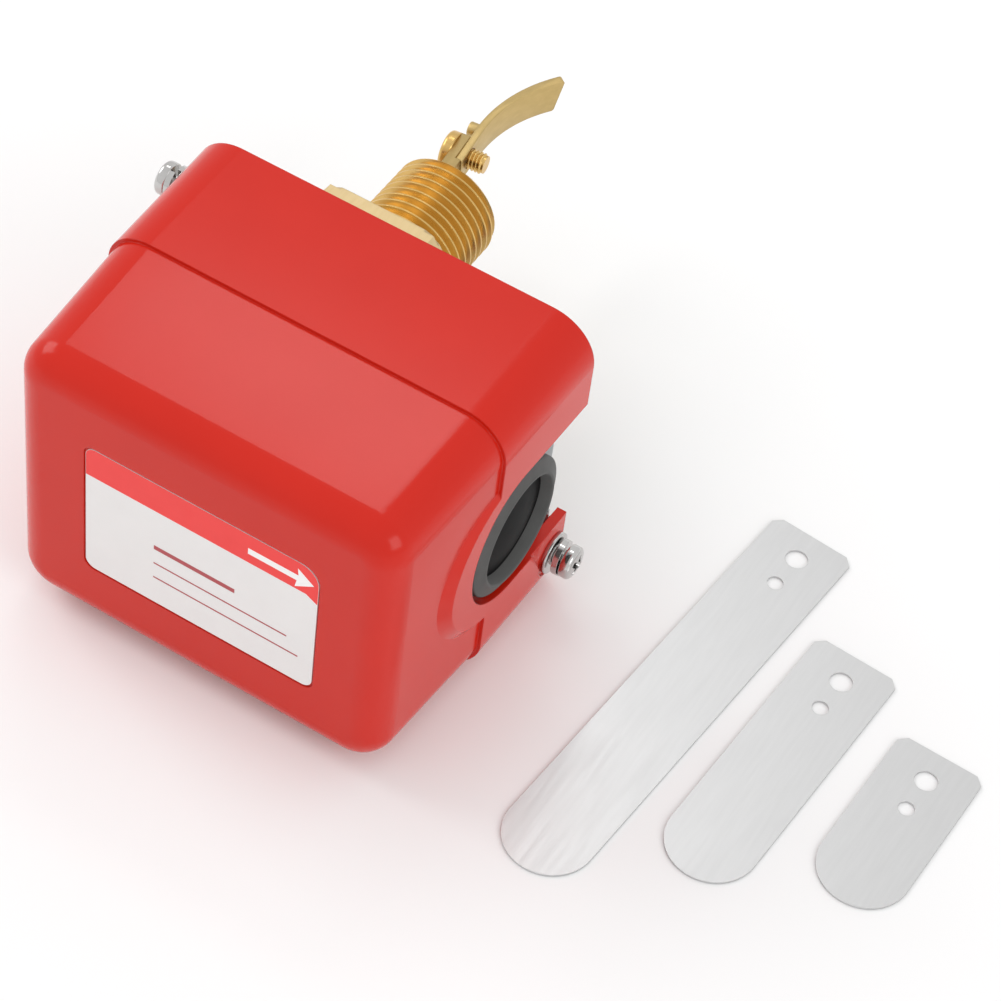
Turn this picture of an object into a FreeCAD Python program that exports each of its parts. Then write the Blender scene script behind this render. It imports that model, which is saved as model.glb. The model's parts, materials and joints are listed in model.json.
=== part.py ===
import FreeCAD, Part
import math
import os

# Paddle flow switch, lying on its long side.  Millimetres.
# Origin: the pipe thread's axis, at the hexagon's shoulder.  +Y runs out along the thread to the
# paddle, +X is the flow direction and the cable end, +Z is up.
os.makedirs("parts", exist_ok=True)
V = FreeCAD.Vector

# ---- driving dimensions ----------------------------------------------------------------------
# brass body: G 1/2 parallel pipe thread, 20.955 mm over the crests
PIPE_R = 10.478
PIPE_LEN = 24.1
BORE_R = 8.0
HEX_AF = 36.8
HEX_H = 13.0
HEX_CORNER_OFF = 1.0
CHAMBER_R = 10.2
CHAMBER_TOP = -3.0
SPIGOT_WALL = 1.5
SPIGOT_R = CHAMBER_R + SPIGOT_WALL
# the body screws clear the spigot, and the collar reaches past them
BODY_SCREW_OFF = 2.9
BODY_SCREW_CIRCLE_R = SPIGOT_R + BODY_SCREW_OFF
COLLAR_EDGE = 2.6
COLLAR_R = BODY_SCREW_CIRCLE_R + COLLAR_EDGE
SPIGOT_PROUD = 1.2
# steel frame
PLATE_Y = -16.2
SHEET = 1.6
FRAME_X0 = -25.3
FRAME_X1 = 46.8
FLANGE_END_CABLE = -48.5
FLANGE_END_FAR = -42.0
EAR_Z = 15.0
EAR_END = -24.0
EAR_PROUD = 0.8
BEND_R = 2.2
GASKET_T = 0.6
# cover
MOUTH_Y = -14.65
STEP_Y = -41.8
LABEL_FACE_Y = -71.7
MOUTH_X0 = -28.8
MOUTH_X1 = 50.3
MOUTH_HALF_Z = 32.5
MOUTH_CORNER = 8.8
FLARE = 0.55
LEDGE = 0.6
LABEL_DRAFT = 1.55
LABEL_EDGE_R = 5.8
WALL = 2.4
# the frame's long sides stand clear of the cover's walls, and its flanges and ears are cut in from them
FRAME_SIDE_GAP = 2.1
FRAME_HALF_Z = MOUTH_HALF_Z - WALL - FRAME_SIDE_GAP
FLANGE_CUT_IN = 8.0
FLANGE_HALF_Z = FRAME_HALF_Z - FLANGE_CUT_IN
EAR_CUT_IN = 2.0
EAR_HALF_Z = FRAME_HALF_Z - EAR_CUT_IN
CAVITY_DRAFT = 1.7
CAVITY_EDGE_R = 4.2
# cable entry
ENTRY_Y = -33.7
NOTCH_R = 14.35
SURROUND_Y = -38.4
SURROUND_R = 17.9
SURROUND_SLOPE = 1.8
GROMMET_R = 13.3
GROMMET_FACE_X = 49.4
GROMMET_LIP_X = 50.3
GROMMET_LIP_R = 10.3
GROMMET_NECK_R = 11.2
GROMMET_SKIN = 1.1
# cover screws, one at each end, placed corner to corner
COVER_SCREW_Y = -18.6
COVER_SCREW_INSET = 11.2
COVER_SCREW_Z = MOUTH_HALF_Z - COVER_SCREW_INSET
COVER_SCREW_LEN = 10.0
COVER_HEAD_R = 3.15
COVER_HEAD_H = 2.3
FLAT_WASHER_R = 4.0
FLAT_WASHER_T = 1.0
SPRING_WASHER_R = 3.3
SPRING_WASHER_T = 1.1
SPRING_WASHER_DEG = 346.0
SPOT_R = 4.7
SPOT_DEPTH = 0.45
# direction label
LABEL_X0 = -11.35
LABEL_X1 = 34.2
LABEL_HALF_Z = 15.3
LABEL_CORNER = 2.0
LABEL_BIG_CORNER = 3.8
LABEL_T = 0.3
LABEL_RECESS = 0.4
# lever: its axis leans against the flow when there is none
PIVOT_Y = -10.0
LEAN_DEG = 5.7
PIVOT_PIN_R = 1.25
PIVOT_PIN_HALF = 14.5
HUB_R = 4.0
HUB_HALF_Z = 4.5
ROD_R = 2.0
BAR_HALF_X = 1.4
BAR_HALF_Z = 3.0
BAR_TOP = 48.6
BAR_FROM = 19.5
SEAL_TOP = 18.1
STEP_FROM = 42.2
STRIP_X0 = 0.3
STRIP_T = 1.4
STRIP_FOOT_HALF_Z = 2.7
STRIP_TIP_HALF_Z = 3.6
STRIP_TIP_SLANT_DEG = 13.9
STRIP_TIP_R = 0.6
STRIP_BEND_R = 30.2
STRIP_BEND_FROM = 51.0
STRIP_BEND_DEG = 40.9
PADDLE_SCREW_S = 46.2
HOLE_PITCH = 7.1
M4_R = 2.0
LOCATING_PIN_R = 1.4
LOCATING_PIN_DEPTH = 0.9
ARM_T = 1.6
ARM_HALF_Z = 4.0
# switch
SWITCH_X0 = 6.8
SWITCH_X1 = 22.7
SWITCH_Y0 = -40.5
SWITCH_Y1 = -30.2
SWITCH_HALF_Z = 13.9
PLUNGER_Y = -35.2
PLUNGER_R = 1.5
PLUNGER_TIP_X = 5.8
RUNNING = 0.05
# range spring
ADJUST_X = -16.5
NUT_HALF_Z = 6.0
NUT_X0 = -12.0
NUT_X1 = -8.0
SPRING_R = 3.2
WIRE_R = 0.35
SPRING_X0 = -7.6
SPRING_X1 = 3.0
SPRING_TURNS = 7
# screws
M3_R = 1.45
M3_CLEAR = 1.6
M3_HEAD_R = 2.75
M3_HEAD_H = 2.0
# paddles: free end round, clamped end square with clipped corners
PADDLE_W = 16.6
PADDLE_T = 0.4
PADDLE_CLIP = 1.5
PADDLE_HOLE_R = 2.1
PADDLE_PIN_HOLE_R = 1.5
PADDLE_HOLE_IN = 6.2
FLOOR_Z = -MOUTH_HALF_Z


# ---- helpers ---------------------------------------------------------------------------------
def box(x0, x1, y0, y1, z0, z1):
    return Part.makeBox(x1 - x0, y1 - y0, z1 - z0, V(x0, y0, z0))


def cyl_x(r, x0, x1, y, z):
    return Part.makeCylinder(r, x1 - x0, V(x0, y, z), V(1, 0, 0))


def cyl_y(r, y0, y1, x=0.0, z=0.0):
    return Part.makeCylinder(r, y1 - y0, V(x, y0, z), V(0, 1, 0))


def cyl_z(r, z0, z1, x, y):
    return Part.makeCylinder(r, z1 - z0, V(x, y, z0), V(0, 0, 1))


def fuse(first, *others):
    return first.fuse(list(others)).removeSplitter()


def cut(first, *others):
    return first.cut(list(others))


def rounded_wire(y, x0, x1, half_z, radii):
    """A rounded rectangle in the plane at height y; radii go round from the (+X, -Z) corner."""
    edges = []
    ends = []
    for i, (sx, sz) in enumerate(((1, -1), (1, 1), (-1, 1), (-1, -1))):
        r = radii[i]
        k = r * (1 - math.sqrt(0.5))
        corner = V(x1 if sx > 0 else x0, y, sz * half_z)
        on_end = corner - V(0, 0, sz * r)
        on_side = corner - V(sx * r, 0, 0)
        a, b = (on_side, on_end) if sx * sz < 0 else (on_end, on_side)
        edges.append(Part.Arc(a, corner - V(sx * k, 0, sz * k), b).toShape())
        ends.append((a, b))
    for i in range(4):
        edges.insert(2 * i + 1, Part.makeLine(ends[i][1], ends[(i + 1) % 4][0]))
    return Part.Wire(edges)


def tapered(y0, y1, inset0, inset1, r0, r1):
    """A drafted block between two rounded rectangles, each set in from the mouth's outline."""
    wires = []
    for y, inset, r in ((y0, inset0, r0), (y1, inset1, r1)):
        wires.append(rounded_wire(y, MOUTH_X0 + inset, MOUTH_X1 - inset, MOUTH_HALF_Z - inset, [r] * 4))
    return Part.makeLoft(wires, True, True)


def in_lever(shape):
    """Turn a shape drawn along the lever's own axis, pivot at the origin, into its resting place."""
    shape.rotate(V(0, 0, 0), V(0, 0, 1), LEAN_DEG)
    shape.translate(V(0, PIVOT_Y, 0))
    return shape


def pan_screw(head_r, head_h, shank_r, shank_len, seat, way):
    """A pan-head screw whose head bears at seat; its shank runs along way."""
    dome = 0.4 * head_h
    head = Part.makeCylinder(head_r, head_h - dome, V(0, 0, dome - head_h), V(0, 0, 1))
    dome = Part.makeCone(head_r - dome, head_r, dome, V(0, 0, -head_h), V(0, 0, 1))
    head = head.fuse(dome)
    shank = Part.makeCylinder(shank_r, shank_len, V(0, 0, 0), V(0, 0, 1))
    screw = fuse(head, shank)
    screw.Placement = FreeCAD.Placement(seat, FreeCAD.Rotation(V(0, 0, 1), way))
    return screw


def m3(length, seat, way):
    return pan_screw(M3_HEAD_R, M3_HEAD_H, M3_R, length, seat, way)


def save(name, shape):
    if shape.ShapeType == "Compound" and len(shape.Solids) == 1:
        shape = shape.Solids[0]
    if len(shape.Solids) != 1 or not shape.isValid():
        raise ValueError("%s is not one valid solid" % name)
    shape.exportStep("parts/%s.step" % name)


# ---- brass body ------------------------------------------------------------------------------
hexagon = Part.makePolygon([
    V(HEX_AF / math.sqrt(3) * math.cos(math.radians(60 * i)), 0,
      HEX_AF / math.sqrt(3) * math.sin(math.radians(60 * i))) for i in range(7)])
nut = Part.Face(hexagon).extrude(V(0, -HEX_H, 0))
turned_r = HEX_AF / math.sqrt(3) - HEX_CORNER_OFF
turned = Part.makeCone(turned_r + 1.8 * HEX_H, turned_r, HEX_H, V(0, -HEX_H, 0), V(0, 1, 0))
nut = nut.common(turned)
pipe = cyl_y(PIPE_R, -1, PIPE_LEN - 1)
pipe_end = Part.makeCone(PIPE_R, PIPE_R - 1, 1, V(0, PIPE_LEN - 1, 0), V(0, 1, 0))
collar_y = PLATE_Y + GASKET_T
collar = cyl_y(COLLAR_R, collar_y, -HEX_H + 1)
spigot_end = PLATE_Y - SHEET - SPIGOT_PROUD
spigot = cyl_y(SPIGOT_R, spigot_end, collar_y + 1)
body = fuse(nut, pipe, pipe_end, collar, spigot)
body_screws = []
for i in range(4):
    a = math.radians(45 + 90 * i)
    body_screws.append((BODY_SCREW_CIRCLE_R * math.cos(a), BODY_SCREW_CIRCLE_R * math.sin(a)))
body_screw_len = 9.2
body = cut(
    body,
    cyl_y(BORE_R, CHAMBER_TOP - 1, PIPE_LEN + 1),
    cyl_y(CHAMBER_R, spigot_end - 1, CHAMBER_TOP),
    cyl_z(PIVOT_PIN_R, -HEX_AF, PIVOT_PIN_HALF, 0, PIVOT_Y),
    *[cyl_y(M3_R, collar_y - 1, PLATE_Y - SHEET + body_screw_len, x, z) for x, z in body_screws])
save("body", body)

gasket = cut(
    cyl_y(COLLAR_R - 0.2, PLATE_Y, collar_y),
    cyl_y(SPIGOT_R + RUNNING, PLATE_Y - 1, 0),
    *[cyl_y(M3_CLEAR, PLATE_Y - 1, 0, x, z) for x, z in body_screws])
save("body_gasket", gasket)

inner_y = PLATE_Y - SHEET
for i, (x, z) in enumerate(body_screws):
    save("body_screw_%d" % (i + 1), m3(body_screw_len, V(x, inner_y, z), V(0, 1, 0)))

save("pivot_pin", cyl_z(PIVOT_PIN_R, -PIVOT_PIN_HALF, PIVOT_PIN_HALF, 0, PIVOT_Y))

# ---- steel frame: base plate with a bent flange at each end ------------------------------------
lowest = FLANGE_END_CABLE
frame = box(FRAME_X0, FRAME_X1, lowest, PLATE_Y, -FRAME_HALF_Z, FRAME_HALF_Z)
bends = [e for e in frame.Edges
         if abs(e.Vertexes[0].Y - PLATE_Y) < 1e-6 and abs(e.Vertexes[1].Y - PLATE_Y) < 1e-6
         and abs(e.Vertexes[0].X - e.Vertexes[1].X) < 1e-6]
frame = frame.makeFillet(BEND_R, bends)
hollow = box(FRAME_X0 + SHEET, FRAME_X1 - SHEET, lowest - 1, inner_y, -FRAME_HALF_Z - 1, FRAME_HALF_Z + 1)
inside_bends = [e for e in hollow.Edges
                if abs(e.Vertexes[0].Y - inner_y) < 1e-6 and abs(e.Vertexes[1].Y - inner_y) < 1e-6
                and abs(e.Vertexes[0].X - e.Vertexes[1].X) < 1e-6]
hollow = hollow.makeFillet(BEND_R - SHEET, inside_bends)
trims = [hollow, box(FRAME_X0 - 1, 0, lowest - 1, FLANGE_END_FAR, -40, 40)]
ears = []
for side in (-1, 1):
    z0, z1 = sorted((side * EAR_Z, side * 40))
    for x0, x1 in ((FRAME_X0 - 1, FRAME_X0 + SHEET + 7), (FRAME_X1 - SHEET - 7, FRAME_X1 + 1)):
        trims.append(box(x0, x1, lowest - 1, PLATE_Y + 1, z0, z1))
    for x0, end in ((FRAME_X0, FLANGE_END_FAR), (FRAME_X1 - SHEET, FLANGE_END_CABLE)):
        z0, z1 = sorted((side * EAR_Z, side * FLANGE_HALF_Z))
        ears.append(box(x0, x0 + SHEET, end, PLATE_Y + EAR_PROUD, z0, z1))
        z0, z1 = sorted((side * EAR_Z, side * EAR_HALF_Z))
        ears.append(box(x0, x0 + SHEET, EAR_END, PLATE_Y + EAR_PROUD, z0, z1))
frame = fuse(cut(frame, *trims), *ears)
bracket_holes = [(16.0, -19.0), (16.0, 19.0)]
spring_holes = [(-19.8, -4.4), (-19.8, 4.4)]
ground_at = (31.0, 19.0)
frame = cut(
    frame,
    cyl_y(SPIGOT_R + RUNNING, -20, 0),
    cyl_x(GROMMET_NECK_R, 40, 60, ENTRY_Y, 0),
    cyl_x(4.0, FRAME_X0 - 1, -20, PLUNGER_Y, 0),
    cyl_x(M3_R, 40, 60, COVER_SCREW_Y, -COVER_SCREW_Z),
    cyl_x(M3_R, -40, -20, COVER_SCREW_Y, COVER_SCREW_Z),
    cyl_y(1.95, -20, 0, ground_at[0], ground_at[1]),
    *[cyl_y(M3_CLEAR, -20, 0, x, z) for x, z in body_screws],
    *[cyl_y(M3_R, -20, 0, x, z) for x, z in bracket_holes + spring_holes])
save("frame_plate", frame)

ground_washer = cut(cyl_y(4.4, inner_y - 0.8, inner_y, *ground_at), cyl_y(2.1, -30, 0, *ground_at))
save("ground_washer", ground_washer)
ground_seat = V(ground_at[0], inner_y - 0.8, ground_at[1])
save("ground_screw", pan_screw(3.8, 2.6, 1.95, 2.3, ground_seat, V(0, 1, 0)))

# ---- cover -----------------------------------------------------------------------------------
label_inset = FLARE + LEDGE
mouth_part = tapered(STEP_Y, MOUTH_Y, FLARE, 0, MOUTH_CORNER - FLARE, MOUTH_CORNER)
label_part = tapered(LABEL_FACE_Y, STEP_Y + 1, label_inset + LABEL_DRAFT, label_inset,
                     MOUTH_CORNER - label_inset - 0.6, MOUTH_CORNER - label_inset)
rim = [e for e in label_part.Edges if all(abs(v.Y - LABEL_FACE_Y) < 1e-6 for v in e.Vertexes)]
label_part = label_part.makeFillet(LABEL_EDGE_R, rim)
face_x = MOUTH_X1 - FLARE
surround = Part.makeCone(SURROUND_R + 2.1 * SURROUND_SLOPE, SURROUND_R - 1.1 * SURROUND_SLOPE, 3.2,
                         V(face_x - 3.2, SURROUND_Y, 0), V(1, 0, 0))
surround = surround.common(box(40, 60, -60, STEP_Y + 1, -FRAME_HALF_Z, FRAME_HALF_Z))
cavity = tapered(LABEL_FACE_Y + WALL, MOUTH_Y + 0.01, WALL + CAVITY_DRAFT, WALL,
                 MOUTH_CORNER - WALL - 0.8, MOUTH_CORNER - WALL)
rim = [e for e in cavity.Edges if all(abs(v.Y - LABEL_FACE_Y - WALL) < 1e-6 for v in e.Vertexes)]
cavity = cavity.makeFillet(CAVITY_EDGE_R, rim)
cover = cut(fuse(mouth_part, label_part, surround), cavity)
# pads that bear on the frame's flanges round each cover screw
pads = []
spots = []
for side in (-1, 1):
    z = -side * COVER_SCREW_Z
    z0, z1 = sorted((-side * (COVER_SCREW_Z - 4.2), -side * (COVER_SCREW_Z + 4.2)))
    if side > 0:
        x0, x1 = FRAME_X1, MOUTH_X1 - 1.2
        spot = cyl_x(SPOT_R, MOUTH_X1 - FLARE / 4 - SPOT_DEPTH, 60, COVER_SCREW_Y, z)
    else:
        x0, x1 = MOUTH_X0 + 1.2, FRAME_X0
        spot = cyl_x(SPOT_R, -40, MOUTH_X0 + FLARE / 4 + SPOT_DEPTH, COVER_SCREW_Y, z)
    pads.append(box(x0, x1, COVER_SCREW_Y - 4.2, MOUTH_Y - 0.3, z0, z1))
    spots.append(spot)
    spots.append(cyl_x(M3_CLEAR, *sorted((side * 20, side * 60)), COVER_SCREW_Y, z))
spot_floor = MOUTH_X1 - FLARE / 4 - SPOT_DEPTH
spot_floor_far = MOUTH_X0 + FLARE / 4 + SPOT_DEPTH
# the cable-end recess runs on from its screw to the notch, and both recesses open at the mouth
run_on = Part.Face(Part.makePolygon([
    V(spot_floor, MOUTH_Y + 1, -COVER_SCREW_Z - SPOT_R), V(spot_floor, COVER_SCREW_Y, -COVER_SCREW_Z - SPOT_R),
    V(spot_floor, COVER_SCREW_Y - SPOT_R, -COVER_SCREW_Z), V(spot_floor, -27.0, -NOTCH_R + 0.5),
    V(spot_floor, MOUTH_Y + 1, -NOTCH_R + 0.5), V(spot_floor, MOUTH_Y + 1, -COVER_SCREW_Z - SPOT_R)]))
spots.append(run_on.extrude(V(8, 0, 0)))
spots.append(box(-40, spot_floor_far, COVER_SCREW_Y, MOUTH_Y + 1, COVER_SCREW_Z - SPOT_R, COVER_SCREW_Z + SPOT_R))
notch = [cyl_x(NOTCH_R, 43, 60, ENTRY_Y, 0), box(43, 60, ENTRY_Y, MOUTH_Y + 1, -NOTCH_R, NOTCH_R)]
cover = cut(fuse(cover, *pads), *(spots + notch))


def label_block(y0, y1, grow):
    radii = [LABEL_CORNER, LABEL_BIG_CORNER, LABEL_CORNER, LABEL_CORNER]
    wire = rounded_wire(y0, LABEL_X0 - grow, LABEL_X1 + grow, LABEL_HALF_Z + grow, radii)
    return Part.Face(wire).extrude(V(0, y1 - y0, 0))


floor_y = LABEL_FACE_Y + LABEL_RECESS
cover = cut(cover, label_block(LABEL_FACE_Y - 1, floor_y, 0.3))
save("cover", cover)
save("direction_label", label_block(floor_y - LABEL_T, floor_y, 0.0))



def open_turn(base, out):
    """An open spring washer: nearly one turn of square wire, whose free height is two thicknesses."""
    steps = 24
    mid_r = (SPRING_WASHER_R + M3_CLEAR) / 2
    half = (SPRING_WASHER_R - M3_CLEAR) / 2
    t = SPRING_WASHER_T
    points = []
    for i in range(steps + 1):
        a = math.radians(SPRING_WASHER_DEG * i / steps)
        points.append(V(mid_r * math.cos(a), mid_r * math.sin(a), t / 2 + t * i / steps))
    corners = [(-1, -1), (1, -1), (1, 1), (-1, 1), (-1, -1)]
    section = Part.makePolygon([points[0] + V(x * half, 0, z * t / 2) for x, z in corners])
    turn = Part.Wire(Part.makePolygon(points)).makePipeShell([section], True, False, 1)
    turn = turn.common(cyl_z(9, 0, 2 * t, 0, 0))
    turn.Placement = FreeCAD.Placement(base, FreeCAD.Rotation(V(0, 0, 1), out))
    return turn


# cover screws: pan head, open spring washer and flat washer at each end
for n, side, floor in ((1, 1, spot_floor), (2, -1, spot_floor_far)):
    z = -side * COVER_SCREW_Z
    out = V(side, 0, 0)
    base = V(floor, COVER_SCREW_Y, z)
    hole = Part.makeCylinder(M3_CLEAR, 30, base - out * 15, out)
    flat = Part.makeCylinder(FLAT_WASHER_R, FLAT_WASHER_T, base, out)
    save("flat_washer_%d" % n, cut(flat, hole))
    base = base + out * FLAT_WASHER_T
    save("spring_washer_%d" % n, cut(open_turn(base, out), hole))
    base = base + out * 2 * SPRING_WASHER_T
    save("cover_screw_%d" % n, pan_screw(COVER_HEAD_R, COVER_HEAD_H, M3_R, COVER_SCREW_LEN, base, out * -1))

# ---- grommet in the cable-end flange -------------------------------------------------------------
xi = FRAME_X1 - SHEET
skin_r = GROMMET_LIP_R - 0.4
profile = [
    (xi - 2.0, skin_r), (xi - 2.0, 12.4), (xi - 1.6, 12.8), (xi, 12.8), (xi, GROMMET_NECK_R),
    (FRAME_X1, GROMMET_NECK_R), (FRAME_X1, GROMMET_R), (GROMMET_FACE_X - 0.4, GROMMET_R),
    (GROMMET_FACE_X, GROMMET_R - 0.4), (GROMMET_LIP_X, GROMMET_LIP_R + 0.7),
    (GROMMET_LIP_X, GROMMET_LIP_R), (GROMMET_LIP_X - 2.4, skin_r), (xi - 2.0, skin_r)]
section = Part.Face(Part.makePolygon([V(x, r, 0) for x, r in profile]))
grommet = section.revolve(V(0, 0, 0), V(1, 0, 0), 360)
dome_h = 1.5
dome_r = (dome_h ** 2 + skin_r ** 2) / (2 * dome_h)
dome_mid = V(GROMMET_LIP_X - 2.4 + dome_h - dome_r, 0, 0)
dome = Part.makeSphere(dome_r, dome_mid).cut(Part.makeSphere(dome_r - GROMMET_SKIN, dome_mid))
dome = dome.common(cyl_x(skin_r + 0.2, xi, 60, 0, 0))
grommet = fuse(grommet, dome)
grommet.translate(V(0, ENTRY_Y, 0))
save("grommet", grommet)

# ---- lever -----------------------------------------------------------------------------------
strip_x0 = STRIP_X0
strip_x1 = STRIP_X0 + STRIP_T
hub = cyl_z(HUB_R, -HUB_HALF_Z, HUB_HALF_Z, 0, 0)
rod = cyl_y(ROD_R, 0, BAR_FROM)
seal_disc = cyl_y(4.2, SEAL_TOP, BAR_FROM)
bar = box(-BAR_HALF_X, BAR_HALF_X, BAR_FROM, BAR_TOP, -BAR_HALF_Z, BAR_HALF_Z)
tang = box(-BAR_HALF_X, BAR_HALF_X, -15.5, 0, -BAR_HALF_Z, BAR_HALF_Z)
stem = fuse(hub, rod, seal_disc, bar, tang)
rivets = (-7.8, -12.6)
stem = cut(
    stem,
    cyl_z(PIVOT_PIN_R + RUNNING, -9, 9, 0, 0),
    box(strip_x0, 9, STEP_FROM, BAR_TOP + 1, -9, 9),
    cyl_x(M4_R, -9, 9, PADDLE_SCREW_S, 0),
    *[cyl_x(1.2, -9, 9, s, 0) for s in rivets])
save("lever_stem", in_lever(stem))

outer = STRIP_BEND_R
inner = STRIP_BEND_R - STRIP_T
centre = V(strip_x0 + STRIP_BEND_R, STRIP_BEND_FROM, 0)


def on_bend(r, deg):
    a = math.radians(180 - deg)
    return centre + V(r * math.cos(a), r * math.sin(a), 0)


# the blank is bent past its tip, widens towards it, and is then cut off at a slant
past = STRIP_BEND_DEG * 1.1
strip_edges = [
    Part.makeLine(V(strip_x0, STEP_FROM, 0), on_bend(outer, 0)),
    Part.Arc(on_bend(outer, 0), on_bend(outer, past / 2), on_bend(outer, past)).toShape(),
    Part.makeLine(on_bend(outer, past), on_bend(inner, past)),
    Part.Arc(on_bend(inner, past), on_bend(inner, past / 2), on_bend(inner, 0)).toShape(),
    Part.makeLine(on_bend(inner, 0), V(strip_x1, STEP_FROM, 0)),
    Part.makeLine(V(strip_x1, STEP_FROM, 0), V(strip_x0, STEP_FROM, 0))]
strip = Part.Face(Part.Wire(strip_edges)).extrude(V(0, 0, 4 * STRIP_TIP_HALF_Z))
strip.translate(V(0, 0, -2 * STRIP_TIP_HALF_Z))
tip = (on_bend(outer, STRIP_BEND_DEG) + on_bend(inner, STRIP_BEND_DEG)) * 0.5
widen = (STRIP_TIP_HALF_Z - STRIP_FOOT_HALF_Z) / (tip.y - STEP_FROM)
rim = []
for s, side in ((STEP_FROM, -1), (2 * tip.y, -1), (2 * tip.y, 1), (STEP_FROM, 1), (STEP_FROM, -1)):
    rim.append(V(-STRIP_BEND_R, s, side * (STRIP_FOOT_HALF_Z + widen * (s - STEP_FROM))))
strip = strip.common(Part.Face(Part.makePolygon(rim)).extrude(V(2 * STRIP_BEND_R, 0, 0)))
bend_end = math.radians(STRIP_BEND_DEG)
slant = math.radians(STRIP_TIP_SLANT_DEG)
tip_way = V(math.sin(bend_end) * math.cos(slant), math.cos(bend_end) * math.cos(slant), -math.sin(slant))
reach = STRIP_BEND_R
off_cut = Part.makeBox(reach, 2 * reach, 2 * reach, V(0, -reach, -reach))
off_cut.Placement = FreeCAD.Placement(tip, FreeCAD.Rotation(V(1, 0, 0), tip_way))
strip = strip.cut(off_cut).Solids[0]
corners = []
for e in strip.Edges:
    mid = (e.Vertexes[0].Point + e.Vertexes[-1].Point) * 0.5
    if abs((mid - tip).dot(tip_way)) < 0.01 and abs(mid.z) > STRIP_FOOT_HALF_Z:
        corners.append(e)
strip = strip.makeFillet(STRIP_TIP_R, corners)
pin_s = PADDLE_SCREW_S + HOLE_PITCH
pin_x1 = strip_x0 + LOCATING_PIN_DEPTH
strip = cut(strip, cyl_x(M4_R, -9, 9, PADDLE_SCREW_S, 0), cyl_x(LOCATING_PIN_R, -9, pin_x1, pin_s, 0))
save("backing_strip", in_lever(strip))
save("locating_pin", in_lever(cyl_x(LOCATING_PIN_R, -BAR_HALF_X - 0.6, pin_x1, pin_s, 0)))
paddle_screw = pan_screw(3.8, 2.4, M4_R, 2 * BAR_HALF_X + 3.5, V(-BAR_HALF_X, PADDLE_SCREW_S, 0), V(1, 0, 0))
save("paddle_screw", in_lever(paddle_screw))

# arm that carries the lever's motion down to the switch
arm_x1 = BAR_HALF_X + ARM_T
contact_s = (PLUNGER_Y - PIVOT_Y) / math.cos(math.radians(LEAN_DEG))
arm = box(BAR_HALF_X, arm_x1, contact_s - 5, -4.8, -ARM_HALF_Z, ARM_HALF_Z)
arm = fuse(arm, cyl_x(2.4, BAR_HALF_X - 1.3, BAR_HALF_X, contact_s, 0))
arm = cut(arm, *[cyl_x(1.2, 0, 9, s, 0) for s in rivets])
save("switch_arm", in_lever(arm))
for i, s in enumerate(rivets):
    rivet = fuse(
        cyl_x(2.0, -BAR_HALF_X - 0.9, -BAR_HALF_X, s, 0),
        cyl_x(1.2, -BAR_HALF_X, arm_x1, s, 0),
        cyl_x(2.0, arm_x1, arm_x1 + 0.9, s, 0))
    save("arm_rivet_%d" % (i + 1), in_lever(rivet))

# bellows that seals the lever, soldered to the rod and held in the body by a ring
folds = 6
fold_from = 8.2
fold_to = SEAL_TOP - 0.8
pitch = (fold_to - fold_from) / folds
outline = []
for k in range(folds):
    s = fold_from + k * pitch
    outline.append((3.3, s))
    outline.append((4.5, s + pitch / 2))
outline.append((3.3, fold_to))
skin = 0.3
flange_y = CHAMBER_TOP
points = [V(3.3, 6.4, 0)] + [V(r, s, 0) for r, s in outline]
points += [V(3.3, SEAL_TOP, 0), V(ROD_R, SEAL_TOP, 0), V(ROD_R, fold_to + 0.2, 0)]
points += [V(r - skin, s, 0) for r, s in reversed(outline)]
points += [V(3.3 - skin, 6.4, 0), V(3.3, 6.4, 0)]
tube = in_lever(Part.Face(Part.makePolygon(points)).revolve(V(0, 0, 0), V(0, 1, 0), 360))
rim_ring = cyl_y(CHAMBER_R, flange_y - 0.8, flange_y)
throat = in_lever(cyl_y(3.3 - skin, 5, 9))
below = box(-CHAMBER_R, CHAMBER_R, -9, flange_y - 0.8, -CHAMBER_R, CHAMBER_R)
bellows = fuse(cut(rim_ring, throat), cut(tube, below))
save("bellows", bellows)
save("bellows_ring", cut(cyl_y(CHAMBER_R, flange_y - 2.4, flange_y - 0.8), cyl_y(6.4, -9, 0)))

# ---- switch and its bracket --------------------------------------------------------------------
case = box(SWITCH_X0, SWITCH_X1, SWITCH_Y0, SWITCH_Y1, -SWITCH_HALF_Z, SWITCH_HALF_Z)
case = case.makeFillet(0.6, [e for e in case.Edges if abs(e.Vertexes[0].Y - e.Vertexes[1].Y) > 1])
lug_z = (-9.0, 0.0, 9.0)
lug_y = (PLUNGER_Y - 0.4, PLUNGER_Y + 0.4)
lug_end = SWITCH_X1 + 8.4
lugs = [box(SWITCH_X1 - 2, lug_end, lug_y[0], lug_y[1], z - 3.1, z + 3.1) for z in lug_z]
switch_holes = [(18.5, -11.1), (18.5, 11.1)]
case = cut(
    case, cyl_x(PLUNGER_R + RUNNING, 0, SWITCH_X0 + 8, PLUNGER_Y, 0),
    *(lugs + [cyl_y(M3_CLEAR, -50, 0, x, z) for x, z in switch_holes]))
save("switch_case", case)
plunger = cyl_x(PLUNGER_R, PLUNGER_TIP_X, PLUNGER_TIP_X + 6.2, PLUNGER_Y, 0)
tip = [e for e in plunger.Edges if len(e.Vertexes) == 1 and abs(e.Vertexes[0].X - PLUNGER_TIP_X) < 1e-6]
save("switch_plunger", plunger.makeFillet(0.6, tip))
lug_x = SWITCH_X1 + 4.8
for i, (lug, z) in enumerate(zip(lugs, lug_z)):
    save("terminal_%d" % (i + 1), cut(lug, cyl_y(M3_R, -50, 0, lug_x, z)))
    save("terminal_screw_%d" % (i + 1), m3(2.6, V(lug_x, lug_y[0], z), V(0, 1, 0)))

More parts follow.
